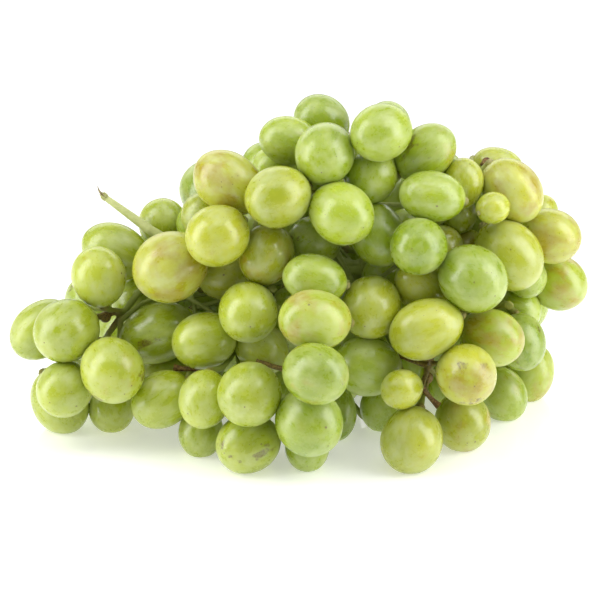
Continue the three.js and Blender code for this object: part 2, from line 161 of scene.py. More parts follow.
class Wire:
    """A shader socket that takes part in arithmetic."""

    def __init__(self, shader: "Shader", socket: bpy.types.NodeSocket) -> None:
        """Wrap one output socket of a shader's node."""
        self.shader = shader
        self.socket = socket

    def _math(self, operation: str, *others: "Wire | float") -> "Wire":
        """Join this wire and others by one Math node."""
        return self.shader.node("ShaderNodeMath", [self, *others], operation=operation)

    def __add__(self, other: "Wire | float") -> "Wire":
        """Add."""
        return self._math("ADD", other)

    def __sub__(self, other: "Wire | float") -> "Wire":
        """Subtract."""
        return self._math("SUBTRACT", other)

    def __rsub__(self, other: float) -> "Wire":
        """Subtract this wire from a number."""
        return self.shader.node("ShaderNodeMath", [other, self], operation="SUBTRACT")

    def __mul__(self, other: "Wire | float") -> "Wire":
        """Multiply."""
        return self._math("MULTIPLY", other)

    def __pow__(self, other: "Wire | float") -> "Wire":
        """Raise to a power."""
        return self._math("POWER", other)

    __radd__ = __add__
    __rmul__ = __mul__

    def clamp(self) -> "Wire":
        """Keep the value between 0 and 1."""
        return self.shader.node("ShaderNodeClamp", [self])

    def ramp(self, low: float, high: float) -> "Wire":
        """Ease from 0 at low to 1 at high.

        Args:
            low: The value that gives 0.
            high: The value that gives 1; it may be under low.

        Returns:
            The eased value.
        """
        inputs = {"Value": self, "From Min": low, "From Max": high}
        return self.shader.node("ShaderNodeMapRange", inputs, interpolation_type="SMOOTHSTEP")


class Shader:
    """A material's node tree, built one node at a time."""

    def __init__(self, name: str) -> None:
        """Start a material with an empty node tree.

        Args:
            name: The material's name.
        """
        self.material = bpy.data.materials.new(name)
        self.material.use_nodes = True
        self.tree = self.material.node_tree
        self.tree.nodes.clear()

    def node(
        self, kind: str, inputs: dict | list | None = None, output: str | int = 0, **settings: object,
    ) -> Wire:
        """Add a node, set or wire its inputs, and return one of its outputs.

        Args:
            kind: The node's type name.
            inputs: Values or wires, by input name or in order.
            output: The name or index of the output to return.
            **settings: The node's own properties.

        Returns:
            The output as a wire.
        """
        made = self.tree.nodes.new(kind)
        for name, value in settings.items():
            setattr(made, name, value)
        pairs = inputs.items() if isinstance(inputs, dict) else enumerate(inputs or [])
        for key, value in pairs:
            if isinstance(value, Wire):
                self.tree.links.new(value.socket, made.inputs[key])
            else:
                made.inputs[key].default_value = value
        return Wire(self, made.outputs[output])

    def attribute(self, name: str) -> Wire:
        """Read a mesh attribute as a vector."""
        return self.node("ShaderNodeAttribute", output="Vector", attribute_name=name)

    def axis(self, vector: Wire, letter: str) -> Wire:
        """Take one component of a vector."""
        return self.node("ShaderNodeSeparateXYZ", [vector], output=letter)

    def noise(self, vector: Wire, scale: float, detail: float = 2.0, roughness: float = 0.5) -> Wire:
        """Read fractal noise at a vector."""
        inputs = {"Vector": vector, "Scale": scale, "Detail": detail, "Roughness": roughness}
        return self.node("ShaderNodeTexNoise", inputs)

    def mix(self, factor: Wire | float, first: Wire | Colour, second: Wire | Colour) -> Wire:
        """Blend two colours.

        Args:
            factor: 0 for the first colour, 1 for the second.
            first: A colour or a wire.
            second: A colour or a wire.

        Returns:
            The blended colour.
        """
        made = self.tree.nodes.new("ShaderNodeMix")
        made.data_type = "RGBA"
        for index, value in ((0, factor), (6, first), (7, second)):
            if isinstance(value, Wire):
                self.tree.links.new(value.socket, made.inputs[index])
            else:
                made.inputs[index].default_value = value
        return Wire(self, made.outputs[2])

    def finish(self, surface: Wire) -> bpy.types.Material:
        """Wire a surface to the material's output.

        Args:
            surface: The surface shader.

        Returns:
            The finished material.
        """
        output = self.tree.nodes.new("ShaderNodeOutputMaterial")
        self.tree.links.new(surface.socket, output.inputs["Surface"])
        return self.material


def colour(red: int, green: int, blue: int) -> Colour:
    """Turn a screen colour of 0 to 255 into a linear one.

    Args:
        red: Red.
        green: Green.
        blue: Blue.

    Returns:
        A linear colour with full alpha.
    """
    return (*(((c / 255 + 0.055) / 1.055) ** 2.4 for c in (red, green, blue)), 1.0)


# ---- finishes ---------------------------------------------------------------------------------


@dataclass(frozen=True)
class GrapeSkin:
    """The finish of a thin, translucent grape skin under a soft wax bloom, whose whitish patches also paint the
    skin's highlights.

    Its patterns follow three attributes that each berry carries. grape_place is the place on a berry of
    radius 1, with the blossom end at +Z. grape_tint shifts the pattern from berry to berry.
    grape_ripeness holds how pale, how sunned and how scarred the berry is.
    """

    name: str
    light: Colour = colour(202, 211, 62)
    deep: Colour = colour(152, 170, 12)
    blush: Colour = colour(178, 160, 34)
    blush_share: float = 0.1
    # Whitish wax bloom, a colour that also stands in for painted highlight.
    bloom_and_painted_highlight: Colour = colour(220, 227, 176)
    bloom_and_highlight_share: float = 0.44
    scar: Colour = colour(96, 64, 22)
    speck_share: float = 0.75
    roughness: float = 0.25
    gloss: float = 0.68
    coat: float = 0.5
    glow: float = 0.7
    glow_reach: Triple = (0.0052, 0.0060, 0.0013)

    def material(self) -> bpy.types.Material:
        """Build the skin's material.

        Returns:
            The material, which reads the berry's own place, tint and ripeness attributes.
        """
        shader = Shader(self.name)
        place = shader.attribute("grape_place")
        spot = shader.node("ShaderNodeVectorMath", [place, shader.attribute("grape_tint")], operation="ADD")
        along = shader.axis(place, "Z")
        looks = shader.attribute("grape_ripeness")
        streaks = self._stretched(shader, spot, 6.0, 0.9)
        veins = shader.noise(streaks, scale=1.0, detail=3.0, roughness=0.6).ramp(0.45, 0.75)
        # Patches where the wax bloom lies, which are also where highlight is painted.
        bloom_and_highlight_patches = shader.noise(spot, scale=1.3, detail=6.0, roughness=0.66).ramp(0.34, 0.68)
        strokes = self._stretched(shader, spot, 2.6, 1.5)
        wiped = shader.noise(strokes, scale=1.0, detail=3.0, roughness=0.6).ramp(0.70, 0.42)

        skin = self._flesh(shader, spot, shader.axis(looks, "X"), veins)
        sun = (shader.axis(looks, "Y") + self.blush_share).clamp()
        edge = sun * 0.32
        warm = shader.noise(spot, scale=1.1, detail=3.0, roughness=0.6).ramp(0.76 - edge, 0.98 - edge)
        skin = shader.mix(warm * sun * 0.8 + sun ** 3.0 * 0.12, skin, self.blush)
        pale_stalk_end = along.ramp(-0.80, -0.99) * 0.5
        skin = shader.mix(pale_stalk_end, skin, self.light)
        # Lay whitish patches of wax bloom, which also serve as painted highlight on the skin.
        skin = shader.mix(bloom_and_highlight_patches * wiped * self.bloom_and_highlight_share, skin, self.bloom_and_painted_highlight)
        skin = shader.mix(self._russet(shader, spot, shader.axis(looks, "Z")), skin, self.scar)
        skin = shader.mix(self._specks(shader, spot) * self.speck_share, skin, self.scar)
        blossom_scar = along.ramp(0.9982, 0.9996)
        skin = shader.mix(blossom_scar, skin, self.scar)

        pores = shader.noise(spot, scale=22.0, detail=3.0)
        bump = shader.node("ShaderNodeBump", {"Height": pores, "Strength": 0.05, "Distance": 0.0004})
        surface = shader.node("ShaderNodeBsdfPrincipled", {
            "Base Color": skin,
            "Roughness": self.roughness + bloom_and_highlight_patches * wiped * 0.16 + veins * 0.03,
            "Normal": bump,
            "IOR": 1.55,
            "Specular IOR Level": self.gloss,
            "Coat Weight": self.coat - bloom_and_highlight_patches * 0.4,
            "Coat Roughness": 0.1,
            "Coat IOR": 1.4,
            "Subsurface Weight": self.glow,
            "Subsurface Radius": self.glow_reach,
            "Subsurface Scale": 1.0,
        })
        return shader.finish(surface)

    def _flesh(self, shader: Shader, spot: Wire, ripeness: Wire, veins: Wire) -> Wire:
        """Blend the deep and the light green, in broad soft patches with pale veins.

        Args:
            shader: The shader being built.
            spot: The place on the berry, shifted for each berry.
            ripeness: How pale this berry is.
            veins: The pattern that runs from end to end.

        Returns:
            The colour of the flesh under the skin.
        """
        broad = shader.noise(spot, scale=0.9, detail=1.0)
        paleness = (broad + ripeness * 0.8 - 0.55).clamp()
        flesh = shader.mix(paleness, self.deep, self.light)
        return shader.mix(veins * 0.25, flesh, self.light)

    def _stretched(self, shader: Shader, spot: Wire, across: float, along: float) -> Wire:
        """Scale a place so that a pattern runs from end to end of the berry."""
        return shader.node("ShaderNodeVectorMath", [spot, (across, across, along)], operation="MULTIPLY")

    def _specks(self, shader: Shader, spot: Wire) -> Wire:
        """Scatter small brown dots over the skin, and fewer larger ones.

        Args:
            shader: The shader being built.
            spot: The place on the berry, shifted for each berry.

        Returns:
            1 in the dots, 0 elsewhere.
        """
        fine = self._dots(shader, spot, scale=7.0, size=0.11, rarity=0.74)
        coarse = self._dots(shader, spot, scale=2.4, size=0.09, rarity=0.82)
        return (fine + coarse).clamp()

    def _dots(self, shader: Shader, spot: Wire, scale: float, size: float, rarity: float) -> Wire:
        """Put a dot in some of the cells of a grid of cells.

        Args:
            shader: The shader being built.
            spot: The place on the berry, shifted for each berry.
            scale: Cells per radius of the berry.
            size: A dot's radius as a share of its cell.
            rarity: The share of cells left empty.

        Returns:
            1 in the dots, 0 elsewhere.
        """
        wobble = shader.node("ShaderNodeTexNoise", {"Vector": spot, "Scale": 14.0}, output="Color")
        ragged = shader.node("ShaderNodeVectorMath", [wobble, (0.06, 0.06, 0.06), spot], operation="MULTIPLY_ADD")
        cells = {"Vector": ragged, "Scale": scale}
        distance = shader.node("ShaderNodeTexVoronoi", cells, output="Distance")
        pick = shader.axis(shader.node("ShaderNodeTexVoronoi", cells, output="Color"), "X")
        return distance.ramp(size * 1.25, size * 0.6) * pick.ramp(rarity, rarity + 0.02)

    def _russet(self, shader: Shader, spot: Wire, share: Wire) -> Wire:
        """Lay a corky scar on the few berries that have one.

        Args:
            shader: The shader being built.
            spot: The place on the berry, shifted for each berry.
            share: How scarred this berry is.

        Returns:
            The strength of the scar.
        """
        patch = shader.noise(self._stretched(shader, spot, 1.7, 0.9), scale=1.0, detail=4.0, roughness=0.62)
        grain = shader.noise(spot, scale=16.0, detail=3.0, roughness=0.7).ramp(0.35, 0.62)
        return (patch.ramp(0.60, 0.68) * (grain * 0.5 + 0.35) * share).clamp()


@dataclass(frozen=True)
class StalkBark:
    """The finish of a green stalk that turns woody at its joints, with painted light that makes it paler higher
    up.
    """

    name: str = "stalk_bark"
    green: Colour = colour(142, 154, 68)
    # Pale green, laid in random patches and, as painted light, on the higher parts of the stalk.
    pale: Colour = colour(208, 214, 146)
    brown: Colour = colour(98, 62, 30)
    tan: Colour = colour(150, 116, 62)
    roughness: float = 0.45
    glow: float = 0.12
    glow_reach: Triple = (0.002, 0.002, 0.0008)

    def material(self) -> bpy.types.Material:
        """Build the stalk's material.

        Returns:
            The material, which reads how woody each point is.
        """
        shader = Shader(self.name)
        point = shader.node("ShaderNodeTexCoord", output="Object")
        woody = shader.axis(shader.attribute("stalk_wood"), "X")
        patches = shader.noise(point, scale=180.0, detail=4.0, roughness=0.6)
        fibres = shader.noise(point, scale=1300.0, detail=2.0)
        # Painted light: the stalk turns paler above the middle of the heap, and keeps a darker green as painted
        # shade lower down.
        painted_top_light = shader.axis(point, "Z").ramp(0.055, 0.08)
        patches_and_painted_top_light = (patches * 1.2 + painted_top_light - 0.75).clamp()
        bark = shader.mix(patches_and_painted_top_light, self.green, self.pale)
        rust = (woody * 1.25 + patches * 0.5 - 0.32).clamp()
        cork = shader.mix(fibres.ramp(0.4, 0.62), self.brown, self.tan)
        bark = shader.mix(rust, bark, cork)
        bump = shader.node("ShaderNodeBump", {
            "Height": fibres * 0.4 + patches, "Strength": 0.35, "Distance": 0.0006,
        })
        surface = shader.node("ShaderNodeBsdfPrincipled", {
            "Base Color": bark,
            "Roughness": self.roughness + patches * 0.2,
            "Normal": bump,
            "Subsurface Weight": self.glow,
            "Subsurface Radius": self.glow_reach,
            "Subsurface Scale": 1.0,
        })
        return shader.finish(surface)


@dataclass(frozen=True)
class FloorFinish:
    """The finish of the plain pale floor."""

    name: str = "studio_floor"
    pale: Colour = (0.93, 0.935, 0.93, 1.0)
    roughness: float = 0.12
    light: float = 0.35

    def material(self) -> bpy.types.Material:
        """Build the floor's material.

        Returns:
            A white sheet with a soft shine.
        """
        shader = Shader(self.name)
        surface = shader.node("ShaderNodeBsdfPrincipled", {
            "Base Color": self.pale,
            "Roughness": self.roughness,
            "IOR": 1.5,
            "Emission Color": WHITE,
            "Emission Strength": self.light,
        })
        return shader.finish(surface)


class Ripeness(Enum):
    """The record's slots of grape, and the skin of each."""

    PALE = "grape_pale"
    GREEN = "grape_green"
    GOLDEN = "grape_golden"

    def skin(self) -> GrapeSkin:
        """Choose the skin of this ripeness.

        Returns:
            The finish of its berries.
        """
        skins = {
            Ripeness.PALE: GrapeSkin("skin_pale"),
            Ripeness.GREEN: GrapeSkin(
                "skin_green", light=colour(188, 205, 54), deep=colour(136, 161, 9), blush_share=0.0,
            ),
            Ripeness.GOLDEN: GrapeSkin(
                "skin_golden", light=colour(205, 208, 60), deep=colour(160, 172, 15), blush_share=0.24,
            ),
        }
        return skins[self]


# ---- berries ----------------------------------------------------------------------------------


class TwigWord(Enum):
    """The word in a CAD node's name that says how many berries its twig has."""

    BERRY = 1
    PAIR = 2
    THREE = 3
    FOUR = 4
    FIVE = 5
    SIX = 6

    @classmethod
    def count_in(cls, node: str) -> int:
        """Read the number of berries from a node's name.

        Args:
            node: The CAD node's name.

        Returns:
            The number of berries on its twig.
        """
        return next(word.value for word in cls if f"_{word.name.lower()}_" in node)


@dataclass
class Spheroid:
    """A grape's plain form: a ball stretched along one axis. Lengths are in millimetres."""

    centre: np.ndarray
    axis: np.ndarray
    half_length: float
    half_width: float

    def misses(self, points: np.ndarray) -> np.ndarray:
        """Measure how far points lie off the surface.

        Args:
            points: One row per point.

        Returns:
            The distance of each, negative inside.
        """
        offset = points - self.centre
        along = offset @ self.axis
        across = np.sqrt(np.maximum((offset**2).sum(axis=1) - along**2, 0.0))
        return (np.hypot(along / self.half_length, across / self.half_width) - 1.0) * self.half_width

    def moved(self, step: np.ndarray, sides: np.ndarray) -> "Spheroid":
        """Change the form by one step of the fit.

        Args:
            step: Shift of the centre, tilt about both sides, and growth of length and width.
            sides: Two unit vectors square to the axis, in rows.

        Returns:
            The changed spheroid.
        """
        axis = self.axis + step[3] * sides[0] + step[4] * sides[1]
        return Spheroid(
            self.centre + step[:3],
            axis / np.linalg.norm(axis),
            self.half_length + step[5],
            self.half_width + step[6],
        )


@dataclass
class SpheroidFit:
    """Recovers the spheroids of one CAD solid from its vertices.

    The vertices of the necks between berries and of the flats below them are left out first. The
    tolerance then tightens from stage to stage, so that only the vertices on the berries count.
    """

    points: np.ndarray
    count: int
    neck_radius: float = 2.7
    floor_skin: float = 0.01
    tolerances: tuple[float, ...] = (3.0, 1.5, 0.7, 0.3, 0.1, 0.05)
    late_stages: int = 4
    steps: int = 10
    nudge: float = 1e-4
    damping: float = 1e-3
    starts: int = 12
    jitter: float = 9.0
    turns: int = 24
    mean_turns: int = 6
    alike_turns: int = 18
    fewest_to_centre: int = 12
    fewest_of_berry: int = 8
    shift_limit: float = 8.0
    stray: float = 2.5
    late_stray: float = 0.3
    shortest: float = 5.0
    longest: float = 16.0

    def solve(self) -> list[Spheroid]:
        """Split the vertices by berry and fit one spheroid to each share.

        Returns:
            One spheroid per berry.
        """
        centres, radii = self._clusters()
        kept = self._off_necks(self.points[self.points[:, 2] > self.floor_skin], centres)
        owner = self._owners(kept, centres, radii)
        forms = [self._ball(kept[owner == i]) for i in range(self.count)]
        for tolerance in self.tolerances:
            forms = [self._fit(form, kept[owner == i], tolerance) for i, form in enumerate(forms)]
            owner = np.abs([form.misses(kept) for form in forms]).argmin(axis=0)
        return [self._best_turn(form, kept[owner == i]) for i, form in enumerate(forms)]

    def _clusters(self) -> tuple[np.ndarray, np.ndarray]:
        """Split the vertices from several starts, and keep the split with the roundest berries.

        Returns:
            The middle and the rough radius of each berry.
        """
        dice = np.random.default_rng(self.count)
        splits = []
        for start in range(self.starts):
            spread = 0.0 if start == 0 else self.jitter
            splits.append(self._split(dice.normal(0.0, spread, len(self.points))))
        return min(splits, key=lambda split: self._unevenness(*split))

    def _split(self, jitter: np.ndarray) -> tuple[np.ndarray, np.ndarray]:
        """Split the vertices into berries, starting from equal shares along the twig.

        Args:
            jitter: How far each vertex is shifted along the twig for the first shares.

        Returns:
            The middle and the rough radius of each berry.
        """
        centred = self.points - self.points.mean(axis=0)
        direction = np.linalg.svd(centred, full_matrices=False)[2][0]
        order = np.argsort(centred @ direction + jitter)
        shares = [self.points[share] for share in np.array_split(order, self.count)]
        for turn in range(self.turns):
            centres = np.array([self._middle(share, turn) for share in shares])
            radii = np.array([np.median(np.linalg.norm(s - c, axis=1)) for s, c in zip(shares, centres)])
            if turn < self.alike_turns or self.count > 2:
                radii[:] = radii.max()
            owner = self._owners(self.points, centres, radii)
            if len(set(owner)) < self.count:
                break
            shares = [self.points[owner == i] for i in range(self.count)]
        return centres, radii

    def _middle(self, points: np.ndarray, turn: int) -> np.ndarray:
        """Take the mean of the vertices at first, and later the centre of the ball that they lie on.

        Args:
            points: The vertices of one berry.
            turn: How many times the vertices have been split.

        Returns:
            The middle of the berry.
        """
        mean = points.mean(axis=0)
        if turn < self.mean_turns or len(points) < self.fewest_to_centre:
            return mean
        offset = points - mean
        rows = np.hstack([2.0 * offset, np.ones((len(points), 1))])
        shift = np.linalg.lstsq(rows, (offset**2).sum(axis=1), rcond=None)[0][:3]
        return mean + shift if np.linalg.norm(shift) < self.shift_limit else mean

    def _unevenness(self, centres: np.ndarray, radii: np.ndarray) -> float:
        """Measure how far the vertices are from lying on balls round the centres.

        Args:
            centres: The middle of each berry.
            radii: The radius of each berry.

        Returns:
            The sum of the misses, in which one vertex counts for no more than a stray.
        """
        owner = self._owners(self.points, centres, radii)
        total = 0.0
        for index, centre in enumerate(centres):
            reach = np.linalg.norm(self.points[owner == index] - centre, axis=1)
            if len(reach) < self.fewest_of_berry:
                return math.inf
            total += float(np.minimum(np.abs(reach - np.median(reach)), self.stray).sum())
        return total

    def _owners(self, points: np.ndarray, centres: np.ndarray, radii: np.ndarray) -> np.ndarray:
        """Say which berry each point belongs to, counting distance in that berry's radii."""
        gaps = np.linalg.norm(points[:, None, :] - centres[None, :, :], axis=2) / radii
        return gaps.argmin(axis=1)

    def _off_necks(self, points: np.ndarray, centres: np.ndarray) -> np.ndarray:
        """Leave out the vertices near the line between two neighbours on the twig.

        Args:
            points: The vertices.
            centres: The middles of the berries, in order along the twig.

        Returns:
            The vertices that stay.
        """
        keep = np.ones(len(points), dtype=bool)
        for start, end in zip(centres[:-1], centres[1:]):
            line = end - start
            share = (points - start) @ line / (line @ line)
            gap = np.linalg.norm(points - start - share[:, None] * line, axis=1)
            keep &= ~((share > 0.0) & (share < 1.0) & (gap < self.neck_radius))
        return points[keep]

    def _ball(self, points: np.ndarray) -> Spheroid:
        """Start from a slightly long ball along the main direction of the vertices.

        Args:
            points: The vertices of one berry.

        Returns:
            The first guess at its form.
        """
        centre = points.mean(axis=0)
        radius = float(np.median(np.linalg.norm(points - centre, axis=1)))
        axis = np.linalg.eigh(np.cov((points - centre).T))[1][:, 2]
        return Spheroid(centre, axis, 1.05 * radius, 0.95 * radius)

    def _best_turn(self, form: Spheroid, points: np.ndarray) -> Spheroid:
        """Try the long axis along each of three square directions, and keep the closest fit.

        Args:
            form: The fitted form.
            points: The vertices of its berry.

        Returns:
            The closest of the forms.
        """
        size = 0.5 * (form.half_length + form.half_width)
        axes = [form.axis, *np.linalg.svd(form.axis[None, :])[2][1:]]
        tried = [form]
        for axis in axes:
            turned = Spheroid(form.centre, axis, 1.08 * size, 0.97 * size)
            for tolerance in self.tolerances[-self.late_stages:]:
                turned = self._fit(turned, points, tolerance)
            tried.append(turned)
        return min(tried, key=lambda each: float(np.minimum(np.abs(each.misses(points)), self.late_stray).sum()))

    def _fit(self, form: Spheroid, points: np.ndarray, tolerance: float) -> Spheroid:
        """Move one spheroid onto its vertices by weighted least squares.

        Args:
            form: The form to start from.
            points: The vertices.
            tolerance: The miss past which a vertex loses its weight.

        Returns:
            The fitted form.
        """
        for _ in range(self.steps):
            sides = np.linalg.svd(form.axis[None, :])[2][1:]
            miss = form.misses(points)
            weight = 1.0 / (1.0 + (miss / tolerance) ** 2) ** 2
            nudges = self.nudge * np.eye(7)
            slopes = np.array([form.moved(nudge, sides).misses(points) - miss for nudge in nudges]).T / self.nudge
            normal = slopes.T @ (slopes * weight[:, None]) + self.damping * np.eye(7)
            step = np.linalg.solve(normal, -slopes.T @ (weight * miss))
            form = form.moved(np.clip(step, -1.0, 1.0), sides)
            form.half_width = float(np.clip(form.half_width, self.shortest, self.longest))
            form.half_length = float(np.clip(form.half_length, self.shortest, self.longest))
        return form


@dataclass(frozen=True)
class HeapFace:
    """The leaning front of the heap, on which details are placed, in millimetres."""

    foot: Triple = (-0.2, -43.4, -1.5)
    lean: float = math.radians(20)

    def point(self, across: float, up: float, deep: float) -> np.ndarray:
        """Find a place.

        Args:
            across: How far along the bunch.
            up: How far up the leaning face.
            deep: How far behind it.

        Returns:
            The place in the frame.
        """
        rise, run = math.cos(self.lean), math.sin(self.lean)
        return np.array(self.foot) + np.array([across, up * run + deep * rise, up * rise - deep * run])

    def place_of(self, point: np.ndarray) -> np.ndarray:
        """Measure how far across and up the face a point of the frame is.

        Args:
            point: The point.

        Returns:
            The two distances.
        """
        rise, run = math.cos(self.lean), math.sin(self.lean)
        offset = point - np.array(self.foot)
        return np.array([offset[0], offset[1] * run + offset[2] * rise])

    def facing(self, heading: float, swing: float) -> np.ndarray:
        """Find a direction.

        Args:
            heading: Its angle on the face, in degrees.
            swing: How far it swings out of the face, in degrees.

        Returns:
            A unit vector.
        """
        h, s = math.radians(heading), math.radians(swing)
        tip = self.point(math.cos(s) * math.cos(h), math.cos(s) * math.sin(h), -math.sin(s))
        return tip - self.point(0.0, 0.0, 0.0)


@dataclass
class GrapeModel:
    """The one modelled grape: a ball of radius 1 with its blossom end at +Z and a dimple at -Z."""

    segments: int = 40
    rings: int = 30
    dimple_edge: float = 0.992
    dimple_insets: tuple[tuple[float, float], ...] = ((0.02, -0.006), (0.03, -0.020))

    def build(self) -> bpy.types.Object:
        """Model the grape.

        Returns:
            The mesh object, at the origin.
        """
        deselect_all()
        bpy.ops.mesh.primitive_uv_sphere_add(
            segments=self.segments, ring_count=self.rings, radius=1.0, location=(0, 0, 0),
        )
        grape = bpy.context.object
        grape.name = "grape_model"
        bpy.ops.object.mode_set(mode="EDIT")
        select_faces(grape, lambda face: face.calc_center_median().z < -self.dimple_edge)
        for thickness, depth in self.dimple_insets:
            bpy.ops.mesh.inset(thickness=thickness, depth=depth, use_even_offset=False)
        bpy.ops.object.mode_set(mode="OBJECT")
        bpy.ops.object.shade_smooth()
        return grape


@dataclass
class Grape:
    """One berry: its form, its looks and its object. Lengths are in millimetres."""

    name: str
    node: str
    form: Spheroid
    ripeness: Ripeness
    seed: int
    sunned: bool
    swell: float = 0.55
    lump: float = 0.016
    lump_scale: float = 1.3
    belly: float = 0.03
    lowest: float = 0.02
    scarred_share: float = 0.14
    scar_strength: float = 0.9

    def build(self, model: bpy.types.Object, skin: bpy.types.Material) -> None:
        """Copy the modelled grape into this berry's place.

        Args:
            model: The modelled grape of radius 1.
            skin: The finish.
        """
        mesh = model.data.copy()
        mesh.name = self.name
        unit = points_of(mesh)
        placed = self._place(self._shape(unit))
        mesh.vertices.foreach_set("co", placed.ravel())
        self._store_looks(mesh, unit)
        mesh.update()
        berry = bpy.data.objects.new(self.name, mesh)
        bpy.context.collection.objects.link(berry)
        clothe(berry, skin, self.node)
        log.info("%s: %.1f by %.1f mm", self.name, 2 * self.form.half_length, 2 * self.form.half_width)

    def _shape(self, unit: np.ndarray) -> np.ndarray:
        """Make the ball a little fuller towards the blossom end, and slightly uneven.

        Args:
            unit: The vertices of the ball of radius 1.

        Returns:
            The shaped vertices.
        """
        offset = Vector((self.seed * 3.7, self.seed * 1.3, 0.0))
        lumps = np.array([noise.noise(Vector(point) * self.lump_scale + offset) for point in unit])
        fuller = 1.0 + self.belly * unit[:, 2] * (1.0 - unit[:, 2] ** 2)
        shaped = unit * (1.0 + self.lump * lumps)[:, None]
        shaped[:, :2] *= fuller[:, None]
        return shaped

    def _place(self, shaped: np.ndarray) -> np.ndarray:
        """Stretch, turn and move the ball onto the CAD berry, and keep it above the table.

        Args:
            shaped: The shaped vertices of the ball.

        Returns:
            The vertices in their place, in metres.
        """
        form = self.form
        sides = np.linalg.svd(form.axis[None, :])[2][1:]
        if np.linalg.det(np.array([sides[0], sides[1], form.axis])) < 0:
            sides = sides[::-1]
        across = form.half_width + self.swell
        along = form.half_length + self.swell
        placed = form.centre + across * (shaped[:, :1] * sides[0] + shaped[:, 1:2] * sides[1])
        placed = placed + along * shaped[:, 2:] * form.axis
        placed[:, 2] = np.maximum(placed[:, 2], self.lowest)
        return placed * MM

    def _store_looks(self, mesh: bpy.types.Mesh, unit: np.ndarray) -> None:
        """Give the mesh the attributes that the skin reads.

        Args:
            mesh: The berry's mesh.
            unit: The place of each vertex on the ball of radius 1.
        """
        dice = np.random.default_rng(self.seed)
        shift = dice.uniform(-40.0, 40.0, 3)
        scarred = self.scar_strength if dice.uniform() < self.scarred_share else 0.0
        looks = np.array([dice.uniform(0.15, 1.0), 0.7 * dice.uniform(0.0, 1.0) ** 2, scarred])
        if self.sunned:
            looks[:2] = 1.0
        store_vectors(mesh, "grape_place", unit)
        store_vectors(mesh, "grape_tint", np.tile(shift, (len(unit), 1)))
        store_vectors(mesh, "grape_ripeness", np.tile(looks, (len(unit), 1)))


@dataclass
class Berries:
    """All the berries of the bunch. Lengths are in millimetres."""

    model: GrapeModel = field(default_factory=GrapeModel)
    face: HeapFace = field(default_factory=HeapFace)
    grapes: list[Grape] = field(default_factory=list)
    sunned_places: tuple[tuple[float, float], ...] = (
        (-51, 80), (-28, 113), (6, 59), (65, 38), (76, 52), (84, 110), (96, 40), (100, 92), (103, 74),
    )
    sunned_reach: float = 5.0
    sunned_depth: float = 40.0

    def build(self, stalk_points: np.ndarray) -> None:
        """Recover every berry from the frame and build it.

        Args:
            stalk_points: The CAD stalk's vertices, which tell a berry's stalk end.
        """
        self._recover(stalk_points)
        skins = {ripeness: ripeness.skin().material() for ripeness in Ripeness}
        model = self.model.build()
        for grape in self.grapes:
            grape.build(model, skins[grape.ripeness])
        bpy.data.objects.remove(model)

    def _recover(self, stalk_points: np.ndarray) -> None:
        """Fit the berries of every node, and turn each blossom end away from the stalk.

        Args:
            stalk_points: The CAD stalk's vertices.
        """
        slots = {part["node"]: part["material_slot"] for part in frame["record"]["subparts"]}
        for node in sorted(slots.keys() - {STALK}):
            points = points_of(frame["nodes"][node].data) / MM
            points = np.unique(points.round(3), axis=0)
            forms = SpheroidFit(points, TwigWord.count_in(node)).solve()
            for number, form in enumerate(sorted(forms, key=lambda f: tuple(f.centre)), start=1):
                self._face_away(form, stalk_points)
                name, seed = f"{node}_grape_{number}", len(self.grapes) + 1
                sunned = self._is_sunned(form.centre)
                self.grapes.append(Grape(name, node, form, Ripeness(slots[node]), seed, sunned))

    def _is_sunned(self, centre: np.ndarray) -> bool:
        """Say whether a berry is one of the ripest ones on the front of the heap.

        Args:
            centre: The middle of the berry.

        Returns:
            True for a ripe one.
        """
        place = self.face.place_of(centre)
        gaps = [np.linalg.norm(place - np.array(spot)) for spot in self.sunned_places]
        return bool(centre[1] < self.sunned_depth and min(gaps) < self.sunned_reach)

    def _face_away(self, form: Spheroid, stalk_points: np.ndarray) -> None:
        """Point the axis at the blossom end, which is the end without a pedicel.

        Args:
            form: The berry's form, whose axis may be turned round.
            stalk_points: The CAD stalk's vertices.
        """
        ends = [form.centre + sign * form.half_length * form.axis for sign in (1.0, -1.0)]
        gaps = [np.linalg.norm(stalk_points - end, axis=1).min() for end in ends]
        if gaps[0] < gaps[1]:
            form.axis = -form.axis


# ---- stalk ------------------------------------------------------------------------------------


@dataclass(frozen=True)
class Stem:
    """A thin stem through five points, with a radius at each. Lengths are in millimetres."""

    name: str
    points: np.ndarray
    radii: tuple[float, ...]
    wood: float

    @classmethod
    def between(
        cls, name: str, start: np.ndarray, end: np.ndarray, sag: np.ndarray, radii: tuple[float, ...], wood: float,
    ) -> "Stem":
        """Bow a stem between two points.

        Args:
            name: The piece's name.
            start: Where it starts.
            end: Where it ends.
            sag: How far its middle is off the straight line.
            radii: The radius at each of its five points.
            wood: How woody it is.

        Returns:
            The stem.
        """
        share = np.linspace(0.0, 1.0, len(radii))[:, None]
        bow = 4.0 * share * (1.0 - share) * sag
        return cls(name, start + share * (end - start) + bow, radii, wood)

    def build(self) -> bpy.types.Object:
        """Grow the stem.

        Returns:
            Its mesh object.
        """
        deselect_all()
        bpy.ops.curve.primitive_nurbs_path_add(location=(0, 0, 0))
        stem = bpy.context.object
        stem.name = self.name
        for control, point, radius in zip(stem.data.splines[0].points, self.points, self.radii):
            control.co = (*(point * MM), 1.0)
            control.radius = radius
        stem.data.dimensions = "3D"
        stem.data.bevel_depth = MM
        stem.data.bevel_resolution = 3
        stem.data.resolution_u = 5
        stem.data.use_fill_caps = True
        bpy.ops.object.convert(target="MESH")
        bpy.ops.object.shade_smooth()
        store_wood(stem.data, np.full(len(stem.data.vertices), self.wood))
        return stem


def store_wood(mesh: bpy.types.Mesh, wood: np.ndarray) -> None:
    """Keep how woody each vertex of the stalk is, from 0 for green to 1 for brown."""
    store_vectors(mesh, "stalk_wood", np.stack([wood, wood * 0.0, wood * 0.0], axis=1))


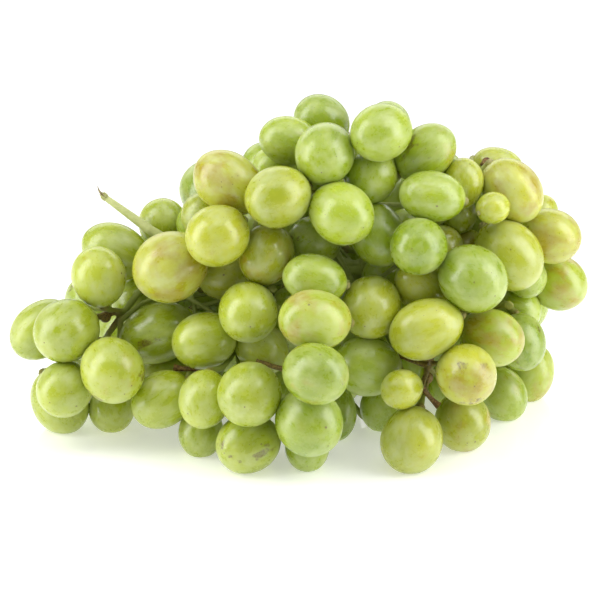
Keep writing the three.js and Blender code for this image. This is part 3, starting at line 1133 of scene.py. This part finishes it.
@dataclass(frozen=True)
class Cap:
    """The swollen end of a pedicel, on which a berry sits. Lengths are in millimetres."""

    radius: float = 2.1
    height: float = 1.3
    sides: int = 14
    neck_insets: tuple[tuple[float, float], ...] = ((0.5, 0.5), (0.35, 0.6))
    rounding: float = 0.25
    lowest: float = 0.1

    def model(self) -> bpy.types.Object:
        """Model the cap.

        Returns:
            Its mesh object at the origin, opening towards +Z, with a scene unit for each millimetre.
        """
        deselect_all()
        bpy.ops.mesh.primitive_cylinder_add(
            vertices=self.sides, radius=self.radius, depth=self.height, location=(0, 0, 0),
        )
        cap = bpy.context.object
        bpy.ops.object.mode_set(mode="EDIT")
        select_faces(cap, lambda face: face.normal.z < -0.9)
        for thickness, depth in self.neck_insets:
            bpy.ops.mesh.inset(thickness=thickness, depth=depth)
        bpy.ops.object.mode_set(mode="OBJECT")
        apply_modifier(cap, "BEVEL", width=self.rounding, segments=2, limit_method="ANGLE")
        bpy.ops.object.shade_smooth()
        return cap

    def copy(
        self, model: bpy.types.Object, foot: np.ndarray, axis: np.ndarray, size: float, wood: float,
    ) -> bpy.types.Object:
        """Set a copy of the cap on the end of a pedicel.

        Args:
            model: The modelled cap.
            foot: The middle of the cap.
            axis: The way it opens.
            size: Its scale.
            wood: How woody it is.

        Returns:
            The copy's object.
        """
        turn = np.array(Vector(axis).to_track_quat("Z", "Y").to_matrix())
        placed = (points_of(model.data) * size) @ turn.T + foot
        placed[:, 2] = np.maximum(placed[:, 2], self.lowest)
        mesh = model.data.copy()
        mesh.vertices.foreach_set("co", (placed * MM).ravel())
        store_wood(mesh, np.full(len(placed), wood))
        made = bpy.data.objects.new("cap", mesh)
        bpy.context.collection.objects.link(made)
        return made


@dataclass(frozen=True)
class TornEnd:
    """The end of the main stalk, torn off the vine: a ring of short splinters and one long wisp.

    Lengths are in millimetres.
    """

    middle: Triple = (-79.2, 25.6, 89.0)
    outward: Triple = (-0.806, 0.293, 0.513)
    radius: float = 0.95
    splinters: int = 8
    splinter_radii: tuple[float, ...] = (0.55, 0.5, 0.42, 0.25, 0.05)
    splinter_bow: float = 0.15
    splinter_wood: float = 0.3
    wisp: Triple = (-2.6, 0.6, 4.6)
    wisp_radii: tuple[float, ...] = (0.7, 0.62, 0.45, 0.26, 0.04)
    wisp_sag: Triple = (-0.9, 0.0, -0.3)
    wisp_wood: float = 0.7
    seed: int = 7

    def build(self) -> list[bpy.types.Object]:
        """Grow the splinters and the wisp.

        Returns:
            Their objects.
        """
        dice = np.random.default_rng(self.seed)
        middle, outward = np.array(self.middle), np.array(self.outward)
        sides = np.linalg.svd(outward[None, :])[2][1:]
        made = []
        for index in range(self.splinters):
            turn = 2.0 * math.pi * index / self.splinters
            rim = math.cos(turn) * sides[0] + math.sin(turn) * sides[1]
            root = middle + self.radius * rim - outward
            tip = root + outward * dice.uniform(1.6, 3.4) + rim * dice.uniform(-0.2, 0.7)
            bow = rim * self.splinter_bow
            splinter = Stem.between("splinter", root, tip, bow, self.splinter_radii, self.splinter_wood)
            made.append(splinter.build())
        root, tip = middle - outward, middle + np.array(self.wisp)
        wisp = Stem.between("wisp", root, tip, np.array(self.wisp_sag), self.wisp_radii, self.wisp_wood)
        return [*made, wisp.build()]


@dataclass
class Stalk:
    """The stalk: the CAD stalk with a natural surface, its knots, caps, bare stems and torn end.

    Lengths are in millimetres, and places are across, up and behind the face of the heap. A knot has a
    place and a radius. A bare stem has a start, an end and how woody it is. A stub has the place of its
    cap, the heading and swing of the way that it opens, and how woody it is.
    """

    face: HeapFace = field(default_factory=HeapFace)
    cap: Cap = field(default_factory=Cap)
    torn_end: TornEnd = field(default_factory=TornEnd)
    voxel: float = 0.5
    plump: float = 0.1
    cap_wood: float = 0.45
    cap_gap: float = 0.45
    cap_berry: float = 11.5
    cap_reach: float = 6.0
    knot_reach: float = 9.0
    torn_reach: float = 5.0
    bare_radii: tuple[float, ...] = (1.5, 0.95, 0.85, 1.0, 1.6)
    bare_sag: Triple = (0.0, 0.3, -0.9)
    stub_radii: tuple[float, ...] = (1.2, 1.0, 0.9, 1.1, 1.5)
    stub_length: float = 5.0
    stub_bow: float = 1.2
    stub_cap_gap: float = 0.6
    stub_cap_size: float = 0.85
    knots: tuple[tuple[Triple, float], ...] = (
        ((-78, 60, 25), 2.4),
        ((-62, 79, 30), 2.6),
        ((51, 44, 14), 2.6),
        ((51, 36, 12), 2.3),
        ((46, 58, 33), 2.6),
    )
    bare_stems: tuple[tuple[Triple, Triple, float], ...] = (
        ((38, 46, 8), (51, 41, 3), 0.7),
        ((51, 41, 3), (48, 33, 2), 0.6),
        ((48, 33, 2), (55, 25, 5), 0.8),
        ((-17, 43, 6), (-3, 39, 3), 0.7),
        ((-50, 40, 12), (-38, 40, 10), 0.8),
        ((-77, 52, 20), (-66, 40, 18), 0.5),
    )
    stubs: tuple[tuple[Triple, float, float, float], ...] = (
        ((-11, 71, 1), 60, 50, 0.15),
        ((-8, 63, -4), 180, 50, 0.2),
        ((83, 65, 6), 250, 55, 0.3),
        ((75, 122, 22), 120, 55, 0.9),
        ((-80, 50, 13), 300, 40, 0.6),
    )

    def build(self, grapes: list[Grape]) -> None:
        """Build the stalk and everything on it.

        Args:
            grapes: The berries that the caps hold.
        """
        bark = StalkBark().material()
        stalk = self._smoothed()
        roots = points_of(stalk.data) / MM
        store_wood(stalk.data, self._woodiness(roots, grapes))
        model = self.cap.model()
        caps = [self._berry_cap(model, grape) for grape in grapes]
        bare = [self._bare_stem(*stem) for stem in self.bare_stems]
        stubs = [piece for stub in self.stubs for piece in self._stub(model, roots, *stub)]
        bpy.data.objects.remove(model)
        pieces = [
            stalk,
            self._joined("pedicel_caps", caps),
            self._joined("bare_stems", bare + stubs),
            self._joined("torn_end", self.torn_end.build()),
        ]
        for piece in pieces:
            clothe(piece, bark, STALK)
            log.info("%s: %d faces", piece.name, len(piece.data.polygons))

    def _smoothed(self) -> bpy.types.Object:
        """Copy the CAD stalk, add its knots and round its facets off.

        Returns:
            The stalk's mesh object.
        """
        stalk = bpy.data.objects.new("grape_stalk", frame["nodes"][STALK].data.copy())
        bpy.context.collection.objects.link(stalk)
        make_active(stalk)
        bpy.ops.object.mode_set(mode="EDIT")
        bpy.ops.mesh.select_all(action="SELECT")
        bpy.ops.mesh.remove_doubles(threshold=1e-6)
        for place, radius in self.knots:
            bpy.ops.mesh.primitive_ico_sphere_add(
                subdivisions=2, radius=radius * MM, location=self.face.point(*place) * MM,
            )
        bpy.ops.object.mode_set(mode="OBJECT")
        apply_modifier(stalk, "REMESH", mode="VOXEL", voxel_size=self.voxel * MM)
        apply_modifier(stalk, "SMOOTH", factor=0.6, iterations=5)
        make_active(stalk)
        bpy.ops.object.mode_set(mode="EDIT")
        bpy.ops.mesh.select_all(action="SELECT")
        bpy.ops.transform.shrink_fatten(value=self.plump * MM)
        bpy.ops.object.mode_set(mode="OBJECT")
        bpy.ops.object.shade_smooth()
        return stalk

    def _woodiness(self, points: np.ndarray, grapes: list[Grape]) -> np.ndarray:
        """Turn the stalk woody next to each berry, at its knots and at its torn end.

        Args:
            points: The stalk's vertices.
            grapes: The berries.

        Returns:
            How woody each vertex is.
        """
        ends = [grape.form.centre - grape.form.axis * grape.form.half_length for grape in grapes]
        spots = [(end, 0.6, self.cap_reach) for end in ends]
        spots += [(self.face.point(*place), 1.0, self.knot_reach) for place, _ in self.knots]
        spots.append((np.array(self.torn_end.middle), 0.5, self.torn_reach))
        wood = np.zeros(len(points))
        for spot, strength, reach in spots:
            wood = np.maximum(wood, strength - np.linalg.norm(points - spot, axis=1) / reach)
        return wood

    def _berry_cap(self, model: bpy.types.Object, grape: Grape) -> bpy.types.Object:
        """Set a cap against the stalk end of a berry.

        Args:
            model: The modelled cap.
            grape: The berry.

        Returns:
            The cap's object.
        """
        form = grape.form
        foot = form.centre - form.axis * (form.half_length + self.cap_gap)
        return self.cap.copy(model, foot, form.axis, form.half_width / self.cap_berry, self.cap_wood)

    def _bare_stem(self, start: Triple, end: Triple, wood: float) -> bpy.types.Object:
        """Grow a stem that shows between the berries of the face.

        Args:
            start: Where it starts.
            end: Where it ends.
            wood: How woody it is.

        Returns:
            The stem's object.
        """
        first, last = self.face.point(*start), self.face.point(*end)
        return Stem.between("bare_stem", first, last, np.array(self.bare_sag), self.bare_radii, wood).build()

    def _stub(
        self, model: bpy.types.Object, roots: np.ndarray, head: Triple, heading: float, swing: float, wood: float,
    ) -> list[bpy.types.Object]:
        """Grow the pedicel of a lost berry from the stalk, with its empty cap.

        Args:
            model: The modelled cap.
            roots: The stalk's points.
            head: The cap's place on the face.
            heading: The way the cap opens, as an angle on the face.
            swing: How far it turns out of the face.
            wood: How woody it is.

        Returns:
            The pedicel and the cap.
        """
        end = self.face.point(*head)
        opens = self.face.facing(heading, swing)
        foot = end - opens * self.stub_length
        root = roots[np.linalg.norm(roots - foot, axis=1).argmin()]
        pedicel = Stem.between("stub", root, end, -opens * self.stub_bow, self.stub_radii, wood)
        cap = self.cap.copy(model, end + opens * self.stub_cap_gap, opens, self.stub_cap_size, wood)
        return [pedicel.build(), cap]

    def _joined(self, name: str, pieces: list[bpy.types.Object]) -> bpy.types.Object:
        """Join small pieces into one object.

        Args:
            name: The name of the whole.
            pieces: The small pieces.

        Returns:
            The joined object.
        """
        deselect_all()
        for piece in pieces:
            piece.select_set(True)
        bpy.context.view_layer.objects.active = pieces[0]
        bpy.ops.object.join()
        joined = bpy.context.object
        joined.name = name
        return joined


# ---- studio -----------------------------------------------------------------------------------


@dataclass(frozen=True)
class SoftBox:
    """A rectangular soft light that faces the bunch: degrees, metres and watts."""

    name: str
    azimuth: float
    elevation: float
    distance: float
    width: float
    height: float
    power: float

    def build(self, target: Vector) -> None:
        """Hang the light.

        Args:
            target: The point that it faces.
        """
        light = bpy.data.lights.new(self.name, "AREA")
        light.shape = "RECTANGLE"
        light.size = self.width
        light.size_y = self.height
        light.energy = self.power
        lamp = bpy.data.objects.new(self.name, light)
        away = Studio.direction(self.azimuth, self.elevation)
        lamp.location = target + away * self.distance
        lamp.rotation_euler = away.to_track_quat("Z", "Y").to_euler()
        bpy.context.collection.objects.link(lamp)


@dataclass
class Studio:
    """The white table, the lights and the camera: degrees and metres, and the sensor in millimetres."""

    elevation: float = 20.0
    distance: float = 1.3
    view_width: float = 0.240
    aim: Triple = (0.0, -0.0016, 0.0544)
    sensor: float = 36.0
    farthest: float = 50.0
    floor_size: float = 60.0
    room_light: float = 0.32
    boxes: tuple[SoftBox, ...] = (
        SoftBox("left_box", -78, 26, 0.70, 0.36, 0.90, 4.0),
        SoftBox("right_box", 75, 28, 0.70, 0.42, 0.90, 4.2),
        SoftBox("top_box", 0, 84, 0.80, 0.90, 0.80, 2.4),
        SoftBox("back_box", 180, 28, 0.95, 1.60, 0.50, 3.4),
    )

    @staticmethod
    def direction(azimuth: float, elevation: float) -> Vector:
        """Point from the bunch towards a place in the room.

        Args:
            azimuth: Degrees from the front, positive to the right.
            elevation: Degrees above the table.

        Returns:
            A unit vector.
        """
        a = math.radians(azimuth)
        e = math.radians(elevation)
        return Vector((math.sin(a) * math.cos(e), -math.cos(a) * math.cos(e), math.sin(e)))

    def build(self) -> None:
        """Build the floor, the lights, the white room and the camera."""
        target = Vector(self.aim)
        self._floor()
        self._room()
        for box in self.boxes:
            box.build(target)
        self._camera(target)
        bpy.context.scene.view_settings.view_transform = "Standard"

    def _floor(self) -> None:
        """Lay the plain pale floor."""
        deselect_all()
        bpy.ops.mesh.primitive_plane_add(size=self.floor_size, location=(0, 0, 0))
        floor = bpy.context.object
        floor.name = "studio_floor"
        floor.data.materials.append(FloorFinish().material())

    def _room(self) -> None:
        """Fill the room with plain white light."""
        world = bpy.data.worlds.new("white_room")
        world.use_nodes = True
        background = world.node_tree.nodes["Background"]
        background.inputs["Color"].default_value = WHITE
        background.inputs["Strength"].default_value = self.room_light
        bpy.context.scene.world = world

    def _camera(self, target: Vector) -> None:
        """Set the camera up.

        Args:
            target: The point that it faces.
        """
        camera = bpy.data.cameras.new("camera")
        camera.sensor_width = self.sensor
        camera.lens = self.sensor * self.distance / self.view_width
        camera.clip_end = self.farthest
        eye = bpy.data.objects.new("camera", camera)
        away = self.direction(0.0, self.elevation)
        eye.location = target + away * self.distance
        eye.rotation_euler = away.to_track_quat("Z", "Y").to_euler()
        bpy.context.collection.objects.link(eye)
        bpy.context.scene.camera = eye


def main() -> None:
    """Build the studio, the berries and the stalk."""
    logging.basicConfig(level=logging.INFO, format="%(message)s")
    Studio().build()
    berries = Berries()
    berries.build(points_of(frame["nodes"][STALK].data) / MM)
    Stalk().build(berries.grapes)


if __name__ == "__main__":
    main()
